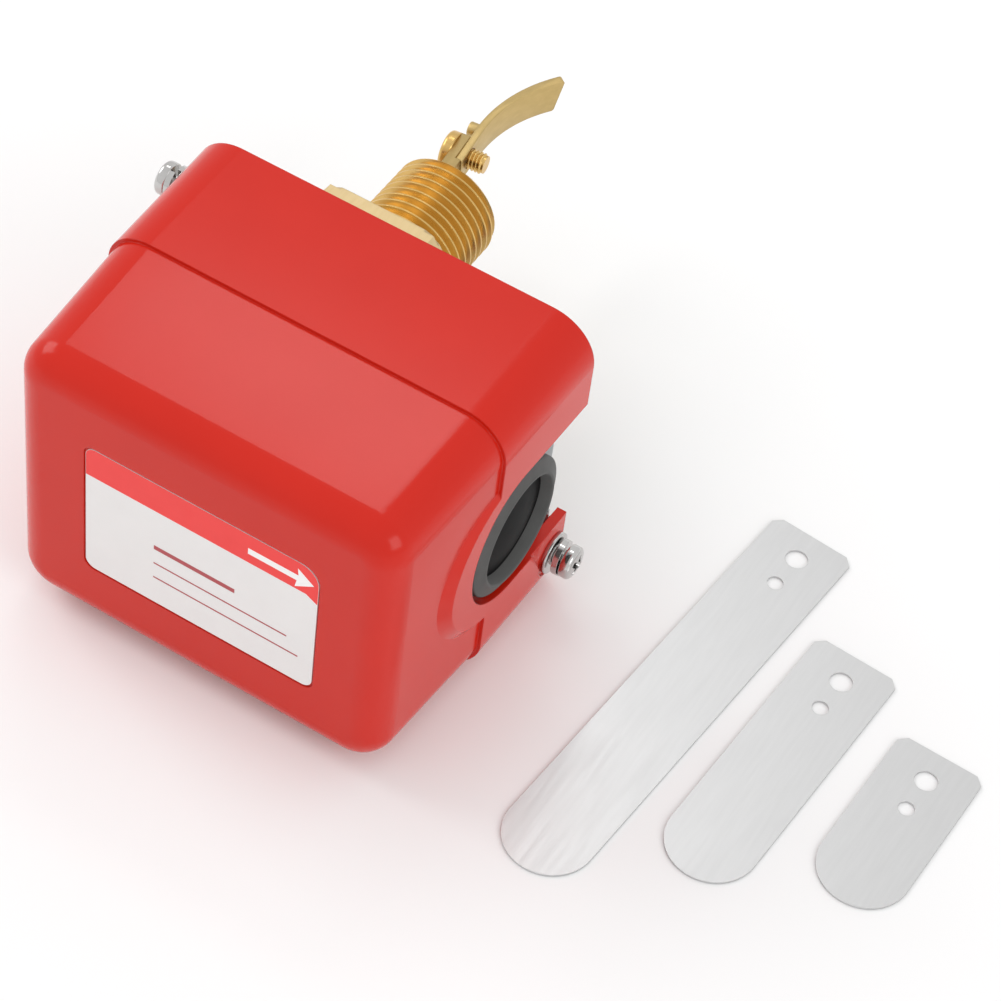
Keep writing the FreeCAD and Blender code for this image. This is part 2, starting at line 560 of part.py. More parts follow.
insulator_t = 0.5
table_y1 = SWITCH_Y1 + insulator_t
sheet = box(SWITCH_X0 - 0.5, SWITCH_X1 + 0.5, SWITCH_Y1, table_y1, -SWITCH_HALF_Z - 0.4, SWITCH_HALF_Z + 0.4)
save("switch_insulator", cut(sheet, *[cyl_y(M3_CLEAR, -50, 0, x, z) for x, z in switch_holes]))
thin = 1.2
leg = SWITCH_HALF_Z + 0.5
table = box(7.0, 24.0, table_y1, table_y1 + thin, -leg - thin, leg + thin)
bracket = [table]
for side in (-1, 1):
    z0, z1 = sorted((side * leg, side * (leg + thin)))
    bracket.append(box(9.0, 24.0, table_y1, inner_y, z0, z1))
    z0, z1 = sorted((side * leg, side * (leg + 8)))
    bracket.append(box(9.0, 24.0, inner_y - thin, inner_y, z0, z1))
bracket = cut(
    fuse(*bracket),
    *([cyl_y(M3_R, -50, 0, x, z) for x, z in switch_holes]
      + [cyl_y(M3_CLEAR, -50, 0, x, z) for x, z in bracket_holes]))
save("switch_bracket", bracket)
for i, (x, z) in enumerate(bracket_holes):
    save("bracket_screw_%d" % (i + 1), m3(2.6, V(x, inner_y - thin, z), V(0, 1, 0)))
for i, (x, z) in enumerate(switch_holes):
    save("switch_screw_%d" % (i + 1), m3(12.0, V(x, SWITCH_Y0, z), V(0, 1, 0)))

# ---- range spring and its adjuster -------------------------------------------------------------
wide = NUT_HALF_Z + 0.03 + thin
foot_t = 1.5
upright = box(ADJUST_X, ADJUST_X + 1.5, -42, inner_y, -wide, wide)
foot = box(-22.9, ADJUST_X + 1.5, inner_y - foot_t, inner_y, -wide, wide)
guides = [box(ADJUST_X + 1.5, -3, PLUNGER_Y - 4.2, PLUNGER_Y + 4.2, *sorted((s * wide, s * (wide - thin))))
          for s in (-1, 1)]
spring_bracket = cut(
    fuse(upright, foot, *guides),
    cyl_x(M4_R + RUNNING, -30, 0, PLUNGER_Y, 0),
    *[cyl_y(M3_CLEAR, -50, 0, x, z) for x, z in spring_holes])
save("spring_bracket", spring_bracket)
for i, (x, z) in enumerate(spring_holes):
    save("spring_bracket_screw_%d" % (i + 1), m3(2.9, V(x, inner_y - foot_t, z), V(0, 1, 0)))
clip_x0 = ADJUST_X + 1.6
groove = cut(cyl_x(3, clip_x0, clip_x0 + 0.6, PLUNGER_Y, 0), cyl_x(1.6, clip_x0, clip_x0 + 0.6, PLUNGER_Y, 0))
adjuster = pan_screw(3.5, 2.6, M4_R, 12.0, V(ADJUST_X, PLUNGER_Y, 0), V(1, 0, 0))
save("adjusting_screw", cut(adjuster, groove))
clip = cut(
    cyl_x(3.6, clip_x0, clip_x0 + 0.6, PLUNGER_Y, 0), cyl_x(1.6, -30, 0, PLUNGER_Y, 0),
    box(-30, 0, PLUNGER_Y, PLUNGER_Y + 5, -1.5, 1.5))
save("adjuster_clip", clip)
seat = box(NUT_X0, NUT_X1, PLUNGER_Y - 4, PLUNGER_Y + 4, -NUT_HALF_Z, NUT_HALF_Z)
seat = fuse(seat, cyl_x(2.6, NUT_X1, NUT_X1 + 1.2, PLUNGER_Y, 0))
save("spring_nut", cut(seat, cyl_x(M4_R + RUNNING, -30, 0, PLUNGER_Y, 0)))
coil_pitch = (SPRING_X1 - SPRING_X0) / SPRING_TURNS
steps = 14


def on_coil(i):
    a = 2 * math.pi * i / steps
    return V(SPRING_X0 + coil_pitch * i / steps, PLUNGER_Y + SPRING_R * math.cos(a), SPRING_R * math.sin(a))


path = Part.makePolygon([on_coil(i) for i in range(SPRING_TURNS * steps + 1)])
first = on_coil(0)
along = on_coil(1) - first
across = along.cross(V(1, 0, 0)).normalize()
upward = along.cross(across).normalize()
corners = []
for i in range(7):
    a = math.radians(60 * i)
    corners.append(first + across * (WIRE_R * math.cos(a)) + upward * (WIRE_R * math.sin(a)))
coil = Part.Wire(path).makePipeShell([Part.makePolygon(corners)], True, False, 1)
save("range_spring", coil)

# ---- loose paddles, lying flat beside the switch -------------------------------------------------
# name, length, round end's centre in X and Y, turn from +X in degrees
PADDLES = (
    ("paddle_long", 91.4, 77.25, -62.7, 85.5),
    ("paddle_medium", 56.9, 100.55, -48.2, 86.9),
    ("paddle_short", 36.3, 124.2, -37.9, 88.3))
for name, length, px, py, turn in PADDLES:
    r = PADDLE_W / 2
    end = length - r
    path = [
        Part.Arc(V(0, r, 0), V(-r, 0, 0), V(0, -r, 0)).toShape(),
        Part.makeLine(V(0, -r, 0), V(end - PADDLE_CLIP, -r, 0)),
        Part.makeLine(V(end - PADDLE_CLIP, -r, 0), V(end, -r + PADDLE_CLIP, 0)),
        Part.makeLine(V(end, -r + PADDLE_CLIP, 0), V(end, r - PADDLE_CLIP, 0)),
        Part.makeLine(V(end, r - PADDLE_CLIP, 0), V(end - PADDLE_CLIP, r, 0)),
        Part.makeLine(V(end - PADDLE_CLIP, r, 0), V(0, r, 0))]
    blade = Part.Face(Part.Wire(path)).extrude(V(0, 0, PADDLE_T))
    hole = end - PADDLE_HOLE_IN
    blade = cut(
        blade,
        Part.makeCylinder(PADDLE_HOLE_R, 2, V(hole, 0, -1)),
        Part.makeCylinder(PADDLE_PIN_HOLE_R, 2, V(hole - HOLE_PITCH, 0, -1)))
    blade.rotate(V(0, 0, 0), V(0, 0, 1), turn)
    blade.translate(V(px, py, FLOOR_Z))
    save(name, blade)
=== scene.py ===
# %% [markdown]
# # Paddle flow switch
# A flow switch screws into a water pipe and hangs a thin paddle in the stream. Here it lies on its
# long side: a glossy red cap, a brass body with a pipe thread, a lever, and three loose paddles.
# The solid model already holds every size. This notebook dresses it: it keeps the solids whose
# shape is right, and models in Blender what a solid leaves plain, such as threads and screw slots.

# %% Load the solid model
import bpy
import bmesh
import json
import math
from mathutils import Matrix, Vector

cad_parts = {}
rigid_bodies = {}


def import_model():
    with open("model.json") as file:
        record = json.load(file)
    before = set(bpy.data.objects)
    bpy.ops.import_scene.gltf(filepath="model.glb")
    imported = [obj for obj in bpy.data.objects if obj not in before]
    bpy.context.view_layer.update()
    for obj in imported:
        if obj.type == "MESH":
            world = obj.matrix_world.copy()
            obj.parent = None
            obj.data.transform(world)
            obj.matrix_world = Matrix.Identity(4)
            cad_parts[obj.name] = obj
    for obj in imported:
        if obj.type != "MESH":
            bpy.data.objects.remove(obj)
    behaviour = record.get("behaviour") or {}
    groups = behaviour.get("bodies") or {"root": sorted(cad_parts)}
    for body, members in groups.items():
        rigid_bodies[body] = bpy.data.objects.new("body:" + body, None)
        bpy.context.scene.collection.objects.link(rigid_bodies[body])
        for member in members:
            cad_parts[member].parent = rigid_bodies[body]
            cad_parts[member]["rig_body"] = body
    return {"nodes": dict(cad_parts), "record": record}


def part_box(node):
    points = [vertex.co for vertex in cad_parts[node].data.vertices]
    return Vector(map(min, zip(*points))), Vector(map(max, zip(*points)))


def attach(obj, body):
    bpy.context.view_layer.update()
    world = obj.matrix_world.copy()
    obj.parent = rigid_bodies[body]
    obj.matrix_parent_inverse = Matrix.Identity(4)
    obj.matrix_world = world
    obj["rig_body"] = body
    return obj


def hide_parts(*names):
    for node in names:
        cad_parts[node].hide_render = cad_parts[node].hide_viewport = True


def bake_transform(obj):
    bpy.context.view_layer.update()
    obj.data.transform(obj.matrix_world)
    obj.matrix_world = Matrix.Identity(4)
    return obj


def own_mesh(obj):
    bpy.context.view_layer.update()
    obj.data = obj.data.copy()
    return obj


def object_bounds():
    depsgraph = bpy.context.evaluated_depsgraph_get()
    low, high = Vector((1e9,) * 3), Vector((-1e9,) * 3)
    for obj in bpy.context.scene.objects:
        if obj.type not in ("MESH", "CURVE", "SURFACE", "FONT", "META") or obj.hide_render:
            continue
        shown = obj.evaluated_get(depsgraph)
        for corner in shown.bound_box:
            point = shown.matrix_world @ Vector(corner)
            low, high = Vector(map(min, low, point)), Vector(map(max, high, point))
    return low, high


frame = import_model()
nodes = frame["nodes"]
cad_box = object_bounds()
MM = 0.001      # Blender counts in metres, and every size below is in millimetres
WELD = 1e-7     # points closer than this, in metres, become one
print(len(nodes), "solids,", [round((b - a) / MM, 1) for a, b in zip(*cad_box)], "mm")

# %% [markdown]
# ## Finishes
# Every finish here is made of the same few layers: a colour that drifts a little with a soft
# noise, a roughness that drifts with another, and a fine bump. The noise reads Object coordinates,
# so it stays put on the surface. It could be painted as an image, but noise has no seams and costs
# nothing to store. `stretch` pulls the grain out along one axis, as rolling or drawing does, and
# `edge` rounds the shading of sharp corners, because no real edge is perfectly sharp.

# %% A layered finish
COLOUR_DETAIL, SHEEN_DETAIL, RELIEF_DETAIL = 5.0, 3.0, 2.0
SHEEN_GRAIN = 0.6       # the shine drifts in wider patches than the colour does
EDGE_SAMPLES = 6
MIX_FACTOR, MIX_DARK, MIX_LIGHT, MIX_COLOUR = 0, 6, 7, 2    # sockets of a Mix node for colours


def finish(name, dark, light, rough, metallic=0.0, grain=900.0, stretch=(1, 1, 1), bump=0.02,
           bump_grain=4000.0, edge=0.15, specular=0.5):
    """Colour runs from dark to light and rough is a pair too. bump and edge are millimetres."""
    material = bpy.data.materials.new(name)
    material.use_nodes = True
    tree = material.node_tree
    shader = tree.nodes["Principled BSDF"]
    shader.inputs["Metallic"].default_value = metallic
    shader.inputs["Specular IOR Level"].default_value = specular
    place = tree.nodes.new("ShaderNodeTexCoord")
    scale = tree.nodes.new("ShaderNodeMapping")
    scale.inputs["Scale"].default_value = stretch
    tree.links.new(place.outputs["Object"], scale.inputs["Vector"])

    def noise(size, detail):
        node = tree.nodes.new("ShaderNodeTexNoise")
        node.inputs["Scale"].default_value = size
        node.inputs["Detail"].default_value = detail
        tree.links.new(scale.outputs["Vector"], node.inputs["Vector"])
        return node.outputs["Fac"]

    colour = tree.nodes.new("ShaderNodeMix")
    colour.data_type = "RGBA"
    colour.inputs[MIX_DARK].default_value = (*dark, 1)
    colour.inputs[MIX_LIGHT].default_value = (*light, 1)
    tree.links.new(noise(grain, COLOUR_DETAIL), colour.inputs[MIX_FACTOR])
    tree.links.new(colour.outputs[MIX_COLOUR], shader.inputs["Base Color"])
    sheen = tree.nodes.new("ShaderNodeMapRange")
    sheen.inputs["To Min"].default_value = rough[0]
    sheen.inputs["To Max"].default_value = rough[1]
    tree.links.new(noise(grain * SHEEN_GRAIN, SHEEN_DETAIL), sheen.inputs["Value"])
    tree.links.new(sheen.outputs["Result"], shader.inputs["Roughness"])
    relief = tree.nodes.new("ShaderNodeBump")
    relief.inputs["Strength"].default_value = 1.0
    relief.inputs["Distance"].default_value = bump * MM
    tree.links.new(noise(bump_grain, RELIEF_DETAIL), relief.inputs["Height"])
    if edge:
        round_edge = tree.nodes.new("ShaderNodeBevel")
        round_edge.samples = EDGE_SAMPLES
        round_edge.inputs["Radius"].default_value = edge * MM
        tree.links.new(round_edge.outputs["Normal"], relief.inputs["Normal"])
    tree.links.new(relief.outputs["Normal"], shader.inputs["Normal"])
    print("finish", name)
    return material


# %% [markdown]
# The cap is moulded in glossy red plastic. A plastic's shine has no colour of its own, so the
# white room shows in it as a pale veil, strongest on faces seen at a slant. Nothing has to be
# painted for that: the shader's own reflection does it, and a lower `specular` thins the veil.
# Rubber and ink are duller, so they get more roughness and less of that shine.

# %% Plastics, rubber and print
red_gloss = finish("red_gloss_plastic", (0.57, 0.013, 0.004), (0.62, 0.017, 0.006), (0.15, 0.20),
                   grain=60.0, bump=0.0012, bump_grain=900.0, edge=0.3, specular=0.28)
RUBBER = dict(grain=300.0, bump=0.004, bump_grain=5000.0)
rubber = finish("black_rubber", (0.072, 0.072, 0.070), (0.105, 0.105, 0.102), (0.55, 0.66),
                edge=0.2, specular=0.3, **RUBBER)
# a darker copy of the rubber for the grommet's skin: painted shade, as it lies in the ring's shade
rubber_painted_shade = finish("black_rubber_painted_shade", (0.004, 0.004, 0.004), (0.007, 0.007, 0.007),
                     (0.55, 0.65), edge=0.0, specular=0.12, **RUBBER)
label_white = finish("label_white", (0.78, 0.76, 0.75), (0.83, 0.81, 0.80), (0.30, 0.38),
                     grain=150.0, bump=0.001, edge=0.05)
INK = dict(rough=(0.34, 0.42), grain=400.0, bump=0.002, edge=0.0)
ink_red = finish("ink_red", (0.84, 0.052, 0.050), (0.90, 0.062, 0.058), specular=0.25, **INK)
ink_white = finish("ink_white", (0.90, 0.88, 0.87), (0.94, 0.92, 0.91), **INK)
ink_dark_red = finish("ink_dark_red", (0.40, 0.050, 0.060), (0.46, 0.060, 0.070), **INK)
black_moulding = finish("black_moulding", (0.016, 0.016, 0.018), (0.028, 0.028, 0.030),
                        (0.42, 0.55), bump=0.006)
white_moulding = finish("white_moulding", (0.70, 0.70, 0.67), (0.78, 0.78, 0.75), (0.35, 0.45),
                        bump=0.004)
brown_sheet = finish("brown_insulating_sheet", (0.20, 0.11, 0.045), (0.30, 0.17, 0.075),
                     (0.5, 0.65), bump=0.01)
grey_fibre = finish("grey_fibre", (0.07, 0.068, 0.06), (0.13, 0.125, 0.115), (0.75, 0.9),
                    bump=0.02, grain=1500.0, stretch=(1, 4, 1))

# %% [markdown]
# Brass and steel are metals, so their colour is the colour of their shine. Turned brass keeps fine
# rings from the tool, rolled sheet keeps fine straight lines, and plated screws are nearly mirrors.
# The dark bottom of a screw's recess is painted shade: a dull, dark copy of the plated metal.

# %% Metals
METAL = 1.0
brass_turned = finish("brass_turned", (0.62, 0.39, 0.12), (0.78, 0.53, 0.20), (0.22, 0.34), METAL,
                      grain=700.0, stretch=(0.25, 3, 0.25), bump=0.006, bump_grain=2500.0,
                      edge=0.1)
brass_pale = finish("brass_milled", (0.66, 0.50, 0.26), (0.76, 0.60, 0.34), (0.38, 0.50), METAL,
                    grain=500.0, stretch=(3, 0.5, 3), bump=0.006, bump_grain=2500.0, edge=0.25)
brass_strip = finish("brass_tumbled", (0.50, 0.36, 0.14), (0.64, 0.47, 0.21), (0.36, 0.48), METAL,
                     grain=900.0, stretch=(1, 0.4, 1), bump=0.008, bump_grain=2200.0, edge=0.3)
bronze = finish("phosphor_bronze", (0.50, 0.24, 0.10), (0.62, 0.33, 0.15), (0.25, 0.38), METAL,
                bump=0.004)
zinc_steel = finish("zinc_plated_steel", (0.30, 0.32, 0.33), (0.40, 0.42, 0.43), (0.34, 0.48),
                    METAL, grain=260.0, stretch=(1, 1, 2), bump=0.006, edge=0.2)
nickel = finish("nickel_plated_steel", (0.50, 0.49, 0.48), (0.64, 0.63, 0.62), (0.10, 0.18),
                METAL, grain=500.0, bump=0.003, edge=0.12)
# painted shade: a dark copy of the metal for the bottom of cross recesses, where shade falls
recess_painted_shade = finish("painted_shade_recess", (0.045, 0.044, 0.042), (0.075, 0.073, 0.070), (0.45, 0.60),
                     METAL, grain=900.0, bump=0.004, edge=0.0)
stainless = finish("stainless_sheet", (0.62, 0.62, 0.62), (0.68, 0.68, 0.68), (0.30, 0.40), METAL,
                   grain=240.0, stretch=(6, 0.5, 1), bump=0.0015, bump_grain=1500.0, edge=0.08)
spring_wire = finish("drawn_spring_wire", (0.40, 0.40, 0.41), (0.52, 0.52, 0.53), (0.25, 0.40),
                     METAL)
green_paint = finish("green_screw_paint", (0.02, 0.26, 0.07), (0.03, 0.34, 0.10), (0.30, 0.42))

# %% [markdown]
# Each solid takes its finish from the material slot that the record gives it, so a later repaint
# of a slot changes every piece of that stuff at once.

# %% Dress every solid by its slot
BY_SLOT = {
    "cover_red": red_gloss, "label_print": label_white, "rubber_black": rubber,
    "zinc_steel": zinc_steel, "brass": brass_strip, "fibre_grey": grey_fibre,
    "nickel_steel": nickel, "phosphor_bronze": bronze, "moulding_black": black_moulding,
    "insulating_sheet": brown_sheet, "moulding_white": white_moulding,
    "spring_steel": spring_wire, "ground_green": green_paint, "stainless": stainless,
}
slot_of = {part["node"]: part["material_slot"] for part in frame["record"]["subparts"]}
for name, solid in nodes.items():
    solid.data.materials.clear()
    solid.data.materials.append(BY_SLOT[slot_of[name]])
print("dressed", len(nodes), "solids in", len(BY_SLOT), "finishes")

# %% [markdown]
# ## Helpers for new pieces
# A new piece is a bmesh that ends up as an object at the origin. `make_piece` closes that step: it
# gives the mesh its finish, shades it smooth except at real corners, and ties it to its body.

# %% Turn a bmesh into a piece
def make_piece(name, bm, materials, body, replaces=(), corner=32.0):
    """Edges where the surface turns by more than `corner` degrees stay sharp."""
    bmesh.ops.recalc_face_normals(bm, faces=bm.faces)
    mesh = bpy.data.meshes.new(name)
    bm.to_mesh(mesh)
    bm.free()
    mesh.shade_smooth()
    mesh.set_sharp_from_angle(angle=math.radians(corner))
    for material in materials:
        mesh.materials.append(material)
    piece = bpy.data.objects.new(name, mesh)
    bpy.context.scene.collection.objects.link(piece)
    if body:
        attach(piece, body)
    if replaces:
        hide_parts(*replaces)
    print(name, len(mesh.polygons), "faces")
    return piece


def body_of(node):
    return nodes[node]["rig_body"]


# %% [markdown]
# Turned parts, such as washers, the grommet and screw heads, come from one move: draw half of the
# section and spin it round the Z axis. `chain` draws the section as edges, each point a distance
# along the axis and a radius. `spin_round` turns it and merges the seam. `stand` then puts the
# piece where it belongs, on its own axis.

# %% Spin a section round an axis
def chain(bm, section):
    verts = [bm.verts.new((r * MM, 0, along * MM)) for along, r in section]
    return verts, [bm.edges.new((a, b)) for a, b in zip(verts, verts[1:])]


def spin_round(bm, geom, steps):
    bmesh.ops.spin(bm, geom=geom, cent=(0, 0, 0), axis=(0, 0, 1), angle=2 * math.pi, steps=steps,
                   use_merge=True)
    bmesh.ops.remove_doubles(bm, verts=bm.verts, dist=WELD)


def stand(bm, base, axis):
    """Moves what was made round the Z axis onto another axis through base."""
    turn = Vector((0, 0, 1)).rotation_difference(Vector(axis)).to_matrix().to_4x4()
    bmesh.ops.transform(bm, matrix=Matrix.Translation(base) @ turn, verts=bm.verts)


# %% [markdown]
# Two more helpers shape what exists already. `break_edges` puts a narrow bevel on every sharp
# edge, which catches the light as a filed edge does. `grow_ring` extrudes an open loop and sets
# the new loop's radius and place, so a body of many steps can be grown one loop after another.

# %% Break edges, grow loops
SHARP_DEG = 30.0


def break_edges(bm, width):
    sharp = [e for e in bm.edges
             if e.is_manifold and e.calc_face_angle() > math.radians(SHARP_DEG)]
    bmesh.ops.bevel(bm, geom=sharp, offset=width * MM, segments=2, profile=0.5, affect="EDGES",
                    clamp_overlap=True, material=-1)


def grow_ring(bm, edges, radius, along, axis):
    """radius is a number, or a function of the angle. axis is 1 for Y and 2 for Z."""
    new = bmesh.ops.extrude_edge_only(bm, edges=edges)["geom"]
    third = 3 - axis
    for v in [g for g in new if isinstance(g, bmesh.types.BMVert)]:
        angle = math.atan2(v.co[third], v.co.x)
        r = (radius(angle) if callable(radius) else radius) * MM
        v.co.x = r * math.cos(angle)
        v.co[third] = r * math.sin(angle)
        v.co[axis] = along * MM
    return [g for g in new if isinstance(g, bmesh.types.BMEdge)]


# %% [markdown]
# ## The pipe thread
# The brass body ends in a G 1/2 pipe thread: 14 crests to the inch, with 55 degrees between its
# flanks. The solid has a plain cylinder there, so the whole body is made again here. A thread is
# one section, a pitch long, spun many times round while it climbs a pitch each turn. Spin does
# that with `dvec`, its climb per step. A few turns too many are made, and both ends are cut flat.

# %% One thread, spun and trimmed
FLANK_LEAN_DEG = 55.0 / 2
TURNS_BELOW, TURNS_SPARE = 1.5, 3
THREAD_WELD = 2e-6      # metres: the end of one turn and the start of the next


def spin_thread(bm, crest, root, pitch, y0, y1, steps):
    rise = (crest - root) * math.tan(math.radians(FLANK_LEAN_DEG))
    flat = (pitch - 2 * rise) / 2
    marks = [(0, root), (flat, root), (flat + rise, crest), (2 * flat + rise, crest),
             (pitch, root)]
    start = y0 - pitch * TURNS_BELOW
    ring = [bm.verts.new((r * MM, (start + y) * MM, 0)) for y, r in marks]
    edges = [bm.edges.new((a, b)) for a, b in zip(ring, ring[1:])]
    turns = math.ceil((y1 - y0) / pitch) + TURNS_SPARE
    bmesh.ops.spin(bm, geom=ring + edges, cent=(0, 0, 0), axis=(0, 1, 0),
                   angle=2 * math.pi * turns, dvec=(0, pitch * MM / steps, 0),
                   steps=steps * turns, use_merge=False)
    bmesh.ops.remove_doubles(bm, verts=bm.verts, dist=THREAD_WELD)
    for y, outer in ((y1, True), (y0, False)):
        bmesh.ops.bisect_plane(bm, geom=bm.verts[:] + bm.edges[:] + bm.faces[:], dist=WELD,
                               plane_co=(0, y * MM, 0), plane_no=(0, 1, 0),
                               clear_outer=outer, clear_inner=not outer)


# %% [markdown]
# The rest of the body grows out of the thread's end loop: down the bore, out into the wider
# chamber, round the spigot and the collar, and up the hexagon to the thread's foot, where the last
# loop is bridged to the thread. The hexagon is one more loop whose radius depends on the angle,
# and its top corners are turned round, as they are on bar stock that has been faced in a lathe.

# %% The brass body with its thread and hexagon
low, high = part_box("body")
THREAD_END, SPIGOT_END = high.y / MM, low.y / MM
CREST, ROOT, PITCH, THREAD_STEPS = 10.478, 9.35, 1.814, 72
BORE, CHAMBER, SPIGOT, COLLAR = 8.0, 10.2, 11.7, 17.2
CHAMBER_TOP, HEX_LOW, COLLAR_LOW = -3.0, -13.0, -15.6
TIP_CHAMFER, BORE_CHAMFER, NECK = 1.0, 0.15, 0.6
FLAT = 36.8 / 2
CORNER_OFF, CORNER_DROP = 1.0, 0.56     # what the lathe takes off the hexagon's corners
TURNED_R = 2 * FLAT / math.sqrt(3) - CORNER_OFF
AXIS_Y, AXIS_Z = 1, 2


def hex_radius(angle):
    """The hexagon's outline: the distance to the nearest of its six flats."""
    return FLAT / math.cos(angle % (math.pi / 3) - math.pi / 6)


def hex_top(angle):
    return min(hex_radius(angle), TURNED_R)


bm = bmesh.new()
spin_thread(bm, CREST, ROOT, PITCH, 0.0, THREAD_END, THREAD_STEPS)
for v in bm.verts:
    r = math.hypot(v.co.x, v.co.z) / MM
    limit = CREST - max(0.0, v.co.y / MM - (THREAD_END - TIP_CHAMFER))
    if r > limit:
        v.co.x *= limit / r
        v.co.z *= limit / r
rims = [e for e in bm.edges if e.is_boundary]
halfway = THREAD_END / 2 * MM
foot = [e for e in rims if e.verts[0].co.y < halfway]
loop = [e for e in rims if e.verts[0].co.y > halfway]
ROUTE = [(BORE + BORE_CHAMFER, THREAD_END), (BORE, THREAD_END - BORE_CHAMFER),
         (BORE, CHAMBER_TOP), (CHAMBER, CHAMBER_TOP), (CHAMBER, SPIGOT_END),
         (SPIGOT, SPIGOT_END), (SPIGOT, COLLAR_LOW), (COLLAR, COLLAR_LOW), (COLLAR, HEX_LOW),
         (hex_radius, HEX_LOW), (hex_radius, -CORNER_DROP), (hex_top, 0.0), (CREST + NECK, 0.0)]
for radius, y in ROUTE:
    loop = grow_ring(bm, loop, radius, y, AXIS_Y)
bmesh.ops.bridge_loops(bm, edges=loop + foot)
print("open edges on the body:", sum(e.is_boundary for e in bm.edges))
brass_body = make_piece("brass_body", bm, [brass_turned, brass_pale], "housing", ["body"])
for face in brass_body.data.polygons:
    face.material_index = 0 if face.center.y > 0.0 else 1

# %% [markdown]
# ## Screws
# A pan head screw has a low dome and a cross recess. The recess could be cut with a boolean, but a
# grid that is pressed down where the cross lies gives a cleaner mesh: the depth falls off at the
# edge of each arm, as the punch leaves it. The arms are slightly wider near the middle.

# %% A cross-recessed pan head
WALL_RUN, TIP_RUN = 0.18, 0.55      # how gently the recess's sides and arm ends come up
ARM, HALF_ARM, DEPTH, EDGE = 0.62, 0.15, 0.85, 0.45     # shares of the head's radius and height
FOOT_R, FOOT_H = 0.96, 0.10         # the head is drawn in a little where it meets its seat
EDGE_RISE, EDGE_DRAW = 0.72, 0.9    # how far the rounded edge climbs and draws in
PRESS_REACH, PRESS_HEIGHT = 1.05, 0.5   # the part of the head that the punch can reach
PAINTED_SHADE_FROM = 0.35                    # the share of the depth from which the recess gets painted shade
HEAD_RINGS, HEAD_STEPS = 26, 72


def cross_depth(x, y, arm, half, depth):
    reach = max(abs(x), abs(y))
    side = min(abs(x), abs(y))
    across = (half + WALL_RUN * (1 - reach / arm) - side) / WALL_RUN
    along = (arm - reach) / (TIP_RUN * arm)
    return depth * max(0.0, min(1.0, across)) * max(0.0, min(1.0, along))


def head_section(radius, height):
    """Half of the head's section: the foot, the side, the rounded edge, then the dome."""
    edge = EDGE * height
    section = [(0.0, radius * FOOT_R), (FOOT_H * height, radius), (height - edge, radius)]
    for degrees in range(15, 90, 15):
        a = math.radians(degrees)
        section.append((height - edge + edge * EDGE_RISE * math.sin(a),
                        radius - edge * EDGE_DRAW * (1 - math.cos(a))))
    rim_z, rim_r = section[-1]
    for k in range(HEAD_RINGS - 1, 0, -1):
        section.append((rim_z + (height - rim_z) * (1 - (k / HEAD_RINGS) ** 2),
                        rim_r * k / HEAD_RINGS))
    return section + [(height, 0.0)]


def pan_head(bm, radius, height, turn_deg):
    """Head with its seat at z 0 and its dome up, made as a grid of rings pressed into shape."""
    arm, half, depth = radius * ARM, radius * HALF_ARM, height * DEPTH
    ring, edges = chain(bm, head_section(radius, height))
    spin_round(bm, ring + edges, HEAD_STEPS)
    turn = math.radians(turn_deg)
    reach = arm * PRESS_REACH * MM
    pressed = set()
    for v in bm.verts:
        if v.co.z > PRESS_HEIGHT * height * MM and math.hypot(v.co.x, v.co.y) < reach:
            x = (v.co.x * math.cos(turn) + v.co.y * math.sin(turn)) / MM
            y = (v.co.y * math.cos(turn) - v.co.x * math.sin(turn)) / MM
            drop = cross_depth(x, y, arm, half, depth)
            v.co.z -= drop * MM
            if drop > PAINTED_SHADE_FROM * depth:
                pressed.add(v)
    # faces with a vertex deep in the recess take material 1, the painted shade
    for face in bm.faces:
        face.material_index = 1 if any(v in pressed for v in face.verts) else 0


# %% [markdown]
# The shank grows from the head's open foot, loop after loop, and is closed at its tip. Where a
# thread shows, it is made as separate rings: at this size no one can tell them from a helix.

# %% A whole screw
GROOVE, TIP_CHAMFER_R, RUN_IN, RUN_OUT = 0.32, 0.3, 0.3, 0.5
CREST_FROM, CREST_TO = 0.42, 0.58       # the crest's flat, as shares of the pitch


def shank_outline(radius, length, pitch):
    """Radius and height of each loop, from the head down to the tip. A pitch of 0 is plain."""
    outline, tip = [(radius, 0.0)], (radius - TIP_CHAMFER_R, -length)
    if not pitch:
        return outline + [(radius, -length + TIP_CHAMFER_R), tip]
    z = -RUN_IN
    while z > -length + RUN_OUT:
        outline += [(radius - GROOVE, z), (radius, z - pitch * CREST_FROM),
                    (radius, z - pitch * CREST_TO)]
        z -= pitch
    return outline + [(radius - GROOVE, z), tip]


def screw(name, head_r, head_h, shank_r, length, base, way, material, turn_deg, pitch=0.0):
    bm = bmesh.new()
    pan_head(bm, head_r, head_h, turn_deg)
    foot = [e for e in bm.edges if e.is_boundary]
    for radius, z in shank_outline(shank_r, length, pitch):
        foot = grow_ring(bm, foot, radius, z, AXIS_Z)
    bmesh.ops.contextual_create(bm, geom=foot)
    stand(bm, base, way)
    # the second material is the recess's painted shade
    return make_piece(name + "_dressed", bm, [material, recess_painted_shade], body_of(name),
                      [name])


# %% [markdown]
# The cap's two screws sit on a split spring washer and a flat washer. A spring washer is a short
# piece of helix: spin its square section a little less than once round while it climbs.

# %% Washers
HOLE_R, FLAT_R, FLAT_T, FLAT_CHAMFER = 1.6, 4.0, 1.0, 0.12
SPRING_R, SPRING_T, SPRING_DEG = 3.3, 1.1, 346.0
FLAT_STEPS, SPRING_STEPS = 64, 60


def flat_washer(name, seat, out):
    bm = bmesh.new()
    ring, edges = chain(bm, [(0, HOLE_R), (0, FLAT_R), (FLAT_T, FLAT_R), (FLAT_T, HOLE_R),
                             (0, HOLE_R)])
    spin_round(bm, ring + edges, FLAT_STEPS)
    bmesh.ops.recalc_face_normals(bm, faces=bm.faces)
    break_edges(bm, FLAT_CHAMFER)
    stand(bm, seat, out)
    make_piece(name + "_dressed", bm, [nickel], "housing", [name])


